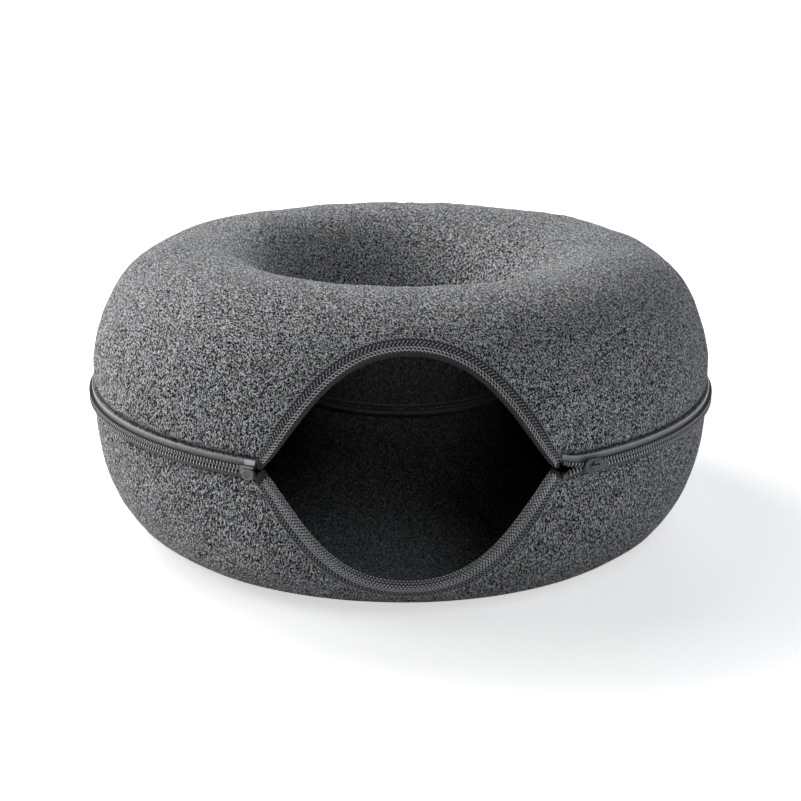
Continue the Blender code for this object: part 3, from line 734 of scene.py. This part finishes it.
def tape_finish():
    """Woven polyester with a dull lustre, a little uneven in tone along its length, with painted light and shade on
    its back.
    """
    material, tree, shader = finish(
        "zip_tape_weave", 0.5, Sheen_Weight=0.25, Sheen_Roughness=0.4, Specular_IOR_Level=0.95
    )
    ribs = place_effect(tree, weave, Rib=0.0008)
    place = spot(tree)
    tone = noise(tree, place, 60.0, 3.0)
    colour = mixed(tree, ribs["Ribs"], (0.036, 0.037, 0.044, 1), (0.076, 0.078, 0.092, 1))
    # Painted light makes the upper tape paler than the lower one, with a painted highlight along its outer edge
    height = shader_node(tree, "SeparateXYZ", {"Vector": place}).outputs["Z"]
    height = maths(tree, "SUBTRACT", height, seam_height)
    top = tape_edge + upper_tape_width
    pale = ramp(tree, height, teeth_edge + 0.0002, top - 0.0014, 0.78, 0.8)
    pale = maths(tree, "MULTIPLY", pale, ramp(tree, height, 0.0, 0.0010))
    colour = mixed(tree, pale, colour, (0.24, 0.242, 0.255, 1))
    edge_wear_and_highlight = ramp(tree, height, top - 0.0030, top - 0.0010, 0.0, 0.5)
    colour = mixed(tree, edge_wear_and_highlight, colour, (0.36, 0.362, 0.38, 1))
    colour = mixed(tree, ramp(tree, tone, 0.35, 0.7, 0.0, 0.35), colour, (0.042, 0.043, 0.050, 1))
    # Between the teeth it is in their shade
    off = maths(tree, "ABSOLUTE", height)
    shaded = ramp(tree, off, teeth_edge - 0.0007, teeth_edge - 0.0002, 1.0, 0.0)
    colour = mixed(tree, shaded, colour, (0.006, 0.006, 0.007, 1))
    face = place_effect(tree, raised_faces, Low=tape_back, High=tape_front - 0.0001)["Raised"]
    # Painted shade makes the back near-black beside the chain; further out it is painted pale as painted light
    back_light_and_shade = mixed(tree, ramp(tree, off, 0.0018, 0.0028), (0.004, 0.004, 0.004, 1), (0.20, 0.20, 0.205, 1))
    colour = mixed(tree, face, back_light_and_shade, colour)
    tree.links.new(colour, shader.inputs["Base Color"])
    worn = maths(tree, "MULTIPLY", face, ramp(tree, ribs["Ribs"], 0.0, 1.0, 0.52, 0.62))
    worn = maths(tree, "MULTIPLY", worn, ramp(tree, height, -0.001, 0.001, 0.4, 1.0))
    tree.links.new(maths(tree, "SUBTRACT", 1.0, worn), shader.inputs["Roughness"])
    raise_by(tree, shader, ribs["Height"], 0.00012, 0.8)
    return material


tape_material = tape_finish()
seam_thread = thread_finish("seam_thread", (0.15, 0.15, 0.165))


def sewn_row(name, run, row, height, out, material):
    """One row of lockstitches along a tape, each a short thread that dips in at both ends."""
    stitch = sewn_pitch / run.radius
    starts = np.arange(run.start + stitch, run.end - 2 * stitch, stitch)
    angle = starts[:, None] + stitch * np.array([0.06, 0.2, 0.5, 0.8, 0.94])
    lift = out + np.array([-0.0003, 0.0001, 0.0002, 0.0001, -0.0003])
    paths = run.at(angle, row, height, lift)
    ups = run.side * np.stack([np.sin(angle), -np.cos(angle), 0 * angle], axis=-1)
    return threads(name, paths, ups, sewn_thread, material)


for run in (outer_zip, inner_zip):
    for half, row, width in (("upper", 1, upper_tape_width), ("lower", -1, lower_tape_width)):
        node = f"{run.name}_{half}_tape"
        section = tape_section(width)
        tape = run_along(f"{run.name}_{half}_woven_tape", run, row, section, run.start, run.end, tape_material)
        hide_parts(node)
        line = teeth_edge + sewn_offset
        sewn = sewn_row(f"{run.name}_{half}_sewn_row", run, row, line, tape_front - 0.0002, seam_thread)
        for piece in (tape, sewn):
            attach(piece, half + "_half")


# The chain: moulded teeth clamped on the tapes' edges, 2.8 mm apart, each with a waisted neck and a wider head
# that passes between two opposite heads. The rows part ahead of the outer slider.
tooth_pitch = 0.0028


def tooth_shape():
    """One tooth as loops of (along, height, out), from its back to its chamfered face."""
    half = np.array([
        (0.00060, 0.0031), (0.00066, 0.0018), (0.00044, 0.0013), (0.00040, 0.0007),
        (0.00058, 0.0003), (0.00058, -0.0002), (0.00036, -0.0006),
    ])
    outline = np.vstack([half, (half * (-1, 1))[::-1]])
    middle = np.array([0.0, 0.0011])
    # The face slopes down from a hump over the foot to the head
    slope = 0.0014 * np.clip((0.0019 - outline[:, 1]) / 0.0022, 0, 1)
    loops = []
    for share, size in ((-0.05, 1.0), (0.72, 1.0), (0.93, 0.84), (1.0, 0.58)):
        chamfered = middle + (outline - middle) * (size, 0.5 + 0.5 * size)
        out = teeth_face + share * (teeth_top - teeth_face) - np.clip(share, 0, 1) * slope
        loops.append(np.column_stack([chamfered, out]))
    return np.stack(loops)


def teeth_row(name, run, row, shift, material):
    """All the teeth of one row, stood on the curve."""
    shape = tooth_shape()
    rows, columns = shape.shape[:2]
    pitch = tooth_pitch / run.radius
    first = run.stop_end + pitch * (0.6 + shift)
    angles = np.arange(first, run.pin - 0.3 * pitch, pitch)
    # Those inside the slider, which hides them, are left out
    first_hidden = run.closed + 0.0012 / run.radius
    last_hidden = run.slider + slider_length * 0.46 / run.radius
    angles = angles[(angles <= first_hidden) | (angles >= last_hidden)]
    along, height, out = (shape[..., i].reshape(1, -1) for i in range(3))
    turn = angles[:, None]
    stood = ring_points(run.radius + run.side * out, turn, row * (height + run.parted(turn)))
    ways = np.stack([np.cos(turn), np.sin(turn), 0 * turn], axis=-1)
    points = stood + along[..., None] * ways
    return many_swept(name, points.reshape(-1, rows, columns, 3), material, sharp=35)


def edge_wear():
    """Where corners and ridges are worn paler, as a mask."""
    tree, given, put = effect_group("edge wear", {"Width": 0.0003}, ("Worn",))
    bevel = shader_node(tree, "Bevel", {"Radius": given["Width"]}, samples=4).outputs[0]
    true = shader_node(tree, "NewGeometry").outputs["Normal"]
    same = vector_maths(tree, "DOT_PRODUCT", bevel, true)["Value"]
    tree.links.new(ramp(tree, same, 0.98, 0.75), put["Worn"])
    return tree


rubbed_edges = edge_wear()


def moulded_finish(name, shade, edge_wear_and_highlight, roughness, shaded_sides=0.0, **constants):
    """Moulded plastic or cast metal: faint flow marks, fine pits, edges worn paler, and painted shade low down and
    on sides.
    """
    material, tree, shader = finish(name, roughness, **constants)
    flow = noise(tree, spot(tree), 320.0, 3.0)
    pits = noise(tree, spot(tree), 2600.0, 2.0)
    dim = tuple(0.72 * value for value in shade)
    colour = mixed(tree, ramp(tree, flow, 0.3, 0.7), (*dim, 1), (*shade, 1))
    worn = place_effect(tree, rubbed_edges, Width=0.0004)["Worn"]
    colour = mixed(tree, worn, colour, (*edge_wear_and_highlight, 1))
    # Painted shade: places low over the felt, and side faces by the given share, turn near-black
    stood = place_effect(tree, raised_faces, Low=0.0018, High=0.0037)
    faced = ramp(tree, stood["Facing"], 0.0, 1.0, 1.0 - shaded_sides, 1.0)
    unshaded = maths(tree, "MULTIPLY", stood["Raised"], faced)
    sunk = tuple(0.02 * value for value in shade)
    colour = mixed(tree, unshaded, (*sunk, 1), colour)
    tree.links.new(colour, shader.inputs["Base Color"])
    gloss = maths(tree, "MULTIPLY", unshaded, ramp(tree, flow, 0.3, 0.7, 0.9 - roughness, 1.06 - roughness))
    tree.links.new(maths(tree, "SUBTRACT", 1.0, gloss), shader.inputs["Roughness"])
    raise_by(tree, shader, pits, 0.00004, 0.6)
    return material


teeth_material = moulded_finish(
    "moulded_teeth", (0.84, 0.845, 0.87), (0.94, 0.945, 0.96), 0.28, shaded_sides=0.95, Specular_IOR_Level=0.95
)
for run in (outer_zip, inner_zip):
    for half, row, shift in (("upper", 1, 0.0), ("lower", -1, 0.5)):
        teeth = teeth_row(f"{run.name}_{half}_moulded_teeth", run, row, shift, teeth_material)
        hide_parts(f"{run.name}_{half}_teeth")
        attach(teeth, half + "_half")


# Stops, retaining box, insertion pin and end film. The stops are clips crimped round the tapes' edges at the
# closed end. At the other end the box is fixed on the lower tape, the pin on the upper tape stands in its
# groove, and a clear stiff film keeps the upper tape's end from fraying.
box_drop = 0.0065
box_rise = 0.0012
box_top = 0.0050
pin_face = 0.0026


def rounded(low, high, bottom, top, corner, steps=4):
    """A rounded rectangle as (ahead, height) points."""
    points = []
    middle = np.array([(low + high) / 2, (bottom + top) / 2])
    for x, y, first in ((high, top, 0), (low, top, 1), (low, bottom, 2), (high, bottom, 3)):
        tip = np.array([x, y])
        centre = tip - np.copysign(corner, tip - middle)
        turn = (first + np.linspace(0, 1, steps)) * pi / 2
        points.append(centre + corner * np.column_stack([np.cos(turn), np.sin(turn)]))
    return np.vstack(points)


def stacked(name, run, angle, loops, material, sharp=40):
    """A body from like-sized loops of (ahead, height) points, each with how far out it lies."""
    places = np.stack([run.flat(angle, loop[:, 0], loop[:, 1], out) for loop, out in loops])
    return swept(name, places, material, sharp)


def inset(outline, by):
    """The outline moved in by this much."""
    centre = (outline.max(axis=0) + outline.min(axis=0)) / 2
    half = (outline.max(axis=0) - outline.min(axis=0)) / 2
    return centre + (outline - centre) * (half - by) / half


def retaining_box(run, material):
    """The box, nearly round, with a raised border round a sunk face."""
    half = box_length / 2
    outline = rounded(-half, half, -box_drop, box_rise, 0.0030, 7)
    # How far in from the outline, and how far out from the felt
    steps = (
        (0.0003, teeth_face), (0.0, teeth_face + 0.0003), (0.0, box_top - 0.0005), (0.0002, box_top - 0.0001),
        (0.0005, box_top), (0.0009, box_top), (0.0011, box_top - 0.0004), (0.0012, box_top - 0.0011),
        (0.0018, box_top - 0.0012),
    )
    loops = [(inset(outline, by), out) for by, out in steps]
    return stacked(run.name + "_box", run, run.end - half / run.radius, loops, material)


def pin_body(run, material):
    """The pin's shelf above the box, and its tail along the last teeth."""
    middle = (run.pin + run.end) / 2
    half = (box_length + pin_tail) / 2
    shelf = rounded(-half, half, box_rise + 0.0003, teeth_edge, 0.0005)
    steps = ((0.0, teeth_face), (0.0, pin_face + 0.0008), (0.0003, pin_face + 0.0012))
    loops = [(inset(shelf, by), out) for by, out in steps]
    return stacked(run.name + "_pin", run, middle, loops, material)


def pin_tongue(run, material):
    """The part of the pin that stands in the box's groove."""
    middle = run.pin + 0.0022 / run.radius
    tail = rounded(-0.0020, 0.0020, -teeth_edge, box_rise + 0.0006, 0.0005)
    steps = ((0.0002, pin_face), (0.0, pin_face + 0.0003), (0.0, pin_face + 0.0009), (0.0003, pin_face + 0.0012))
    loops = [(inset(tail, by), out) for by, out in steps]
    return stacked(run.name + "_pin_tongue", run, middle, loops, material)


def end_film(run, material):
    """The film, cut on a slant and rounded at its corners."""
    half = box_length / 2
    outline = rounded(-half, half, teeth_edge + 0.0004, tape_edge + upper_tape_width - 0.0002, 0.0006)
    outline[:, 0] -= (outline[:, 1] - teeth_edge) * 0.22 * (outline[:, 0] < 0)
    steps = ((0.0, teeth_face), (0.0, teeth_face + 0.0003), (0.0002, teeth_face + 0.0005))
    loops = [(inset(outline, by), out) for by, out in steps]
    return stacked(run.name + "_film", run, run.end - half / run.radius, loops, material)


def crimped_stop(run, row, material):
    """A clip bent round the tape's edge: its face, its web and its back leg."""
    edge = tape_edge - 0.0003
    section = np.array([
        (edge - 0.0001, teeth_top - 0.0002), (edge + 0.0001, teeth_top), (teeth_edge - 0.0003, teeth_top),
        (teeth_edge, teeth_top - 0.0004), (teeth_edge, teeth_face), (edge, teeth_face), (edge, 0.0),
        (edge + 0.0010, 0.0), (edge + 0.0010, -0.0006), (edge + 0.0008, -0.0008), (edge - 0.0002, -0.0008),
        (edge - 0.00035, -0.0006), (edge - 0.00035, teeth_top - 0.0006),
    ])
    name = f"{run.name}_{'upper' if row > 0 else 'lower'}_crimped_stop"
    return run_along(name, run, row, section, run.start, run.stop_end, material)


def film_finish():
    """Heat-pressed film: pale, glossy, with a faint crazed texture."""
    material, tree, shader = finish("end_film", 0.3, Specular_IOR_Level=0.6, Coat_Weight=0.3)
    craze = noise(tree, spot(tree), 700.0, 3.0)
    colour = mixed(tree, ramp(tree, craze, 0.3, 0.7), (0.62, 0.62, 0.63, 1), (0.86, 0.86, 0.87, 1))
    tree.links.new(colour, shader.inputs["Base Color"])
    raise_by(tree, shader, craze, 0.00008)
    return material


box_material = moulded_finish(
    "moulded_box", (0.32, 0.32, 0.325), (0.70, 0.70, 0.71), 0.42, Specular_IOR_Level=0.45
)
metal_material = moulded_finish(
    "lacquered_zinc", (0.066, 0.068, 0.080), (0.40, 0.41, 0.44), 0.36, Metallic=0.5, Coat_Weight=0.2
)
film_material = film_finish()
for run in (outer_zip, inner_zip):
    box = retaining_box(run, box_material)
    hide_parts(run.name + "_retaining_box")
    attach(box, "lower_half")
    pin = pin_body(run, box_material)
    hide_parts(run.name + "_insertion_pin")
    for piece in (pin, pin_tongue(run, box_material)):
        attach(piece, "upper_half")
    film = end_film(run, film_material)
    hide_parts(run.name + "_end_film")
    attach(film, "upper_half")
    for half, row in (("upper", 1), ("lower", -1)):
        clip = crimped_stop(run, row, metal_material)
        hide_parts(f"{run.name}_{half}_stop")
        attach(clip, half + "_half")


# The sliders and pulls: zinc castings with a satin lacquer. A slider is two plates joined by a wedge that parts
# the teeth, with a flange along each side, and a crown on its face that holds the pull's head bar.
plate_face = 0.0048
plate_top = 0.0062
back_face = -0.0005
back_top = -0.0019
tail_edge = 0.0047
shoulder_edge = 0.0053
flange_edge = 0.0036
nose_edge = 0.0032
neck_length = 0.0040
crown_length = 0.0080
crown_top = 0.0094
crown_width = 0.0024
pull_length = 0.0125
pull_half = 0.0034
pull_thickness = 0.0010
pivot_out = 0.0071


def bent_corner(before, here, after, count, pull):
    """Points that round off the corner here, between the one before and the one after."""
    start, end = here + (before - here) * pull, here + (after - here) * pull
    return [(1 - t) ** 2 * start + 2 * t * (1 - t) * here + t**2 * end for t in np.linspace(0, 1, count)]


def smoothed(outline, per_corner, pull):
    """The closed outline with its corners rounded."""
    nexts = np.roll(outline, -1, axis=0)
    corners = [bent_corner(outline[i - 1], outline[i], nexts[i], per_corner, pull) for i in range(len(outline))]
    return np.vstack(corners)


def slider_plan(narrower=0.0):
    """The outline of a slider's plates: wide at its shoulders, where the rows part, and narrow at its tail."""
    half = slider_length / 2
    right = np.array([
        (-half, tail_edge - narrower - 0.0006), (-half + 0.0008, tail_edge - narrower),
        (half - neck_length, shoulder_edge - narrower), (half - 0.0006, nose_edge - narrower + 0.0003),
        (half, nose_edge - narrower - 0.0008),
    ])
    return smoothed(np.vstack([right, (right * (1, -1))[::-1]]), 4, 0.3)


def slider_parts(run, material):
    """The casting, as one piece."""
    at = run.slider
    half = slider_length / 2
    plan = slider_plan()
    under = slider_plan(0.0004)
    made = [
        stacked("face_plate", run, at, [
            (inset(plan, 0.0002), plate_face), (plan, plate_face + 0.0002), (plan, plate_top - 0.0005),
            (inset(plan, 0.00015), plate_top - 0.0002), (inset(plan, 0.0006), plate_top),
        ], material),
        stacked("back_plate", run, at, [
            (inset(under, 0.0004), back_top), (under, back_top + 0.0003), (under, back_face - 0.0001),
            (inset(under, 0.0002), back_face),
        ], material),
    ]
    neck = rounded(half - neck_length, half - 0.0003, -0.0005, 0.0005, 0.0004)
    made.append(stacked("neck", run, at, [(neck, back_face - 0.0004), (neck, plate_face + 0.0004)], material))
    for row in (1, -1):
        side = np.array([
            (-half + 0.0006, row * flange_edge), (half - neck_length - 0.0006, row * flange_edge),
            (half - neck_length, row * (flange_edge + 0.0006)), (half - neck_length, row * (shoulder_edge - 0.0003)),
            (-half + 0.0006, row * (tail_edge - 0.0003)),
        ])
        side = smoothed(side, 3, 0.15)
        made.append(stacked("flange", run, at, [
            (inset(side, 0.0001), teeth_face + 0.0005), (side, teeth_face + 0.0007), (side, plate_face + 0.0004),
        ], material))
    made.append(crown(run, material))
    return joined(run.name + "_cast_slider", made)


def crown(run, material):
    """The bridge over the pull's head bar: a strap with rounded edges, bent over at both ends."""
    reach = crown_length / 2 - 0.0006
    bar = 0.00055
    path = smoothed_path(np.array([
        (-reach, plate_top - 0.0004), (-reach + 0.0004, plate_top + 0.0016), (-reach + 0.0016, crown_top - bar),
        (reach - 0.0016, crown_top - bar), (reach - 0.0004, plate_top + 0.0016), (reach, plate_top - 0.0004),
    ]))
    forward = unit(np.gradient(path, axis=0))
    normal = np.column_stack([-forward[:, 1], forward[:, 0]])
    across = crown_width / 2
    section = np.array([
        (-across, -0.6), (-across, 0.6), (-across + 0.0003, 1.0), (across - 0.0003, 1.0), (across, 0.6),
        (across, -0.6), (across - 0.0003, -1.0), (-across + 0.0003, -1.0),
    ])
    centre = path[:, None] + normal[:, None] * section[:, 1][None, :, None] * bar
    height = np.broadcast_to(section[:, 0], centre.shape[:2])
    return swept("crown", run.flat(run.slider, centre[..., 0], height, centre[..., 1]), material, sharp=50)


def smoothed_path(points, per_corner=5, pull=0.4):
    """An open path with its inner corners rounded."""
    path = [points[0]]
    for i in range(1, len(points) - 1):
        path += bent_corner(*points[i - 1:i + 2], per_corner, pull)
    return np.array(path + [points[-1]])


def joined(name, pieces):
    """Several bodies as one piece."""
    body = bmesh.new()
    material = pieces[0].data.materials[0]
    for piece in pieces:
        body.from_mesh(piece.data)
        bpy.data.objects.remove(piece)
    mesh = bpy.data.meshes.new(name)
    body.to_mesh(mesh)
    body.free()
    mesh.materials.append(material)
    whole = bpy.data.objects.new(name, mesh)
    bpy.context.scene.collection.objects.link(whole)
    return whole


def pull_tab(run, material):
    """The tab: a flat casting with a window at its head, bevelled edges and a rounded end."""
    head = pull_thickness / 2
    low, high = pivot_out - head, pivot_out + head
    outline = rounded(-pull_length, head, -pull_half, pull_half, 0.0016, 6)
    window = rounded(-head - 0.0041, -head, -0.0017, 0.0017, 0.0005, 6)
    loops = []
    for by, out in ((0.0002, low), (0.0, low + 0.0002), (0.0, high - 0.0002), (0.0002, high), (0.0006, high)):
        loops.append(run.flat(run.slider, *inset(outline, by).T, out))
    for by, out in ((-0.0002, high), (0.0, high - 0.0002), (0.0, low + 0.0002), (-0.0002, low)):
        loops.append(run.flat(run.slider, *inset(window, by).T, out))
    places = np.stack(loops)
    faces = grid_faces(*places.shape[:2], rows_join=True)
    return mesh_piece(run.name + "_cast_pull", places.reshape(-1, 3), faces, material, sharp=35)


for run in (outer_zip, inner_zip):
    short = run.name.split("_")[0]
    casting = slider_parts(run, metal_material)
    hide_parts(run.name + "_slider")
    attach(casting, short + "_slider")
    tab = pull_tab(run, metal_material)
    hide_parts(run.name + "_pull")
    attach(tab, short + "_pull")


# The studio: a plain pale floor, two large soft lights on the left and behind, a low one at the back, weak ones at
# the right and in front, and the camera where the photographer stood.
camera_at = Vector((-0.0315, ring_y - 1.2450, 0.4862))
camera_drop = radians(0.908)
camera_roll = radians(0.24)
# The focal length and the picture's width in pixels, and the sensor's width in millimetres
focal_length = 1565.0
picture_width = 801.0
sensor_width = 36.0
lamp_size = 1.1
lamp_distance = 2.0


def aimed(position, target):
    return (Vector(target) - Vector(position)).to_track_quat("-Z", "Y").to_matrix().to_4x4()


def soft_light(name, turn, rise, power, colour):
    """A round soft box, by its turn from the front towards the right and its rise, in degrees."""
    turn, rise = radians(turn), radians(rise)
    way = Vector((cos(rise) * sin(turn), -cos(rise) * cos(turn), sin(rise)))
    lamp = bpy.data.lights.new(name, "AREA")
    lamp.shape = "DISK"
    lamp.size = lamp_size
    lamp.energy = power
    lamp.color = colour
    light = bpy.data.objects.new(name, lamp)
    position = Vector(middle) + lamp_distance * way
    light.matrix_world = Matrix.Translation(position) @ aimed(position, middle)
    bpy.context.scene.collection.objects.link(light)


def shown_white(tree):
    """1 for what the camera, gloss and glass see, and 0 for what lights the object."""
    seen = shader_node(tree, "LightPath").outputs
    mirrored = maths(tree, "MAXIMUM", seen["Is Glossy Ray"], seen["Is Transmission Ray"])
    return maths(tree, "MAXIMUM", seen["Is Camera Ray"], mirrored)


def pale_floor():
    """A floor that takes the ring's shadow, and shows white where no shadow falls."""
    floor = mesh_piece("floor", [(-4, -4, 0), (4, -4, 0), (4, 4, 0), (-4, 4, 0)], [(0, 1, 2, 3)])
    material = bpy.data.materials.new("pale_floor")
    material.use_nodes = True
    tree = material.node_tree
    tree.nodes.clear()
    far = vector_maths(tree, "LENGTH", spot(tree))["Value"]
    strength = maths(tree, "MULTIPLY", shown_white(tree), ramp(tree, far, 0.30, 0.70, 0.62, 1.0))
    surface = shader_node(tree, "BsdfDiffuse", {"Color": (0.8, 0.8, 0.8, 1)}).outputs[0]
    white = shader_node(tree, "Emission", {"Color": (1, 1, 1, 1), "Strength": strength}).outputs[0]
    both = shader_node(tree, "AddShader", {0: surface, 1: white}).outputs[0]
    shader_node(tree, "OutputMaterial", {"Surface": both})
    floor.data.materials.append(material)


def white_room():
    """Even light from all round, seen by the camera as plain white."""
    world = bpy.data.worlds.new("white_room")
    world.use_nodes = True
    tree = world.node_tree
    tree.nodes.clear()
    strength = ramp(tree, shown_white(tree), 0.0, 1.0, 0.035, 1.0)
    room = shader_node(tree, "Background", {"Color": (1, 1, 1, 1), "Strength": strength}).outputs[0]
    shader_node(tree, "OutputWorld", {"Surface": room})
    bpy.context.scene.world = world


middle = (0.0, ring_y, seam_height)
pale_floor()
white_room()
soft_light("back_window", -130, 45, 25.5, (0.99, 0.99, 0.99))
soft_light("left_window", -95, 28, 18.5, (1.0, 0.995, 0.98))
soft_light("low_back", 165, 12, 15.0, (0.84, 0.90, 1.0))
soft_light("low_right", 80, 12, 4.5, (0.88, 0.93, 1.0))
soft_light("front_right", 30, 45, 5.2, (0.92, 0.96, 1.0))

lens = bpy.data.cameras.new("camera")
lens.sensor_width = sensor_width
lens.lens = focal_length / picture_width * sensor_width
camera = bpy.data.objects.new("camera", lens)
aim = aimed(camera_at, middle)
tilt = Matrix.Rotation(-camera_drop, 4, "X") @ Matrix.Rotation(camera_roll, 4, "Z")
camera.matrix_world = Matrix.Translation(camera_at) @ aim @ tilt
bpy.context.scene.collection.objects.link(camera)
bpy.context.scene.camera = camera
bpy.context.scene.view_settings.view_transform = "Standard"
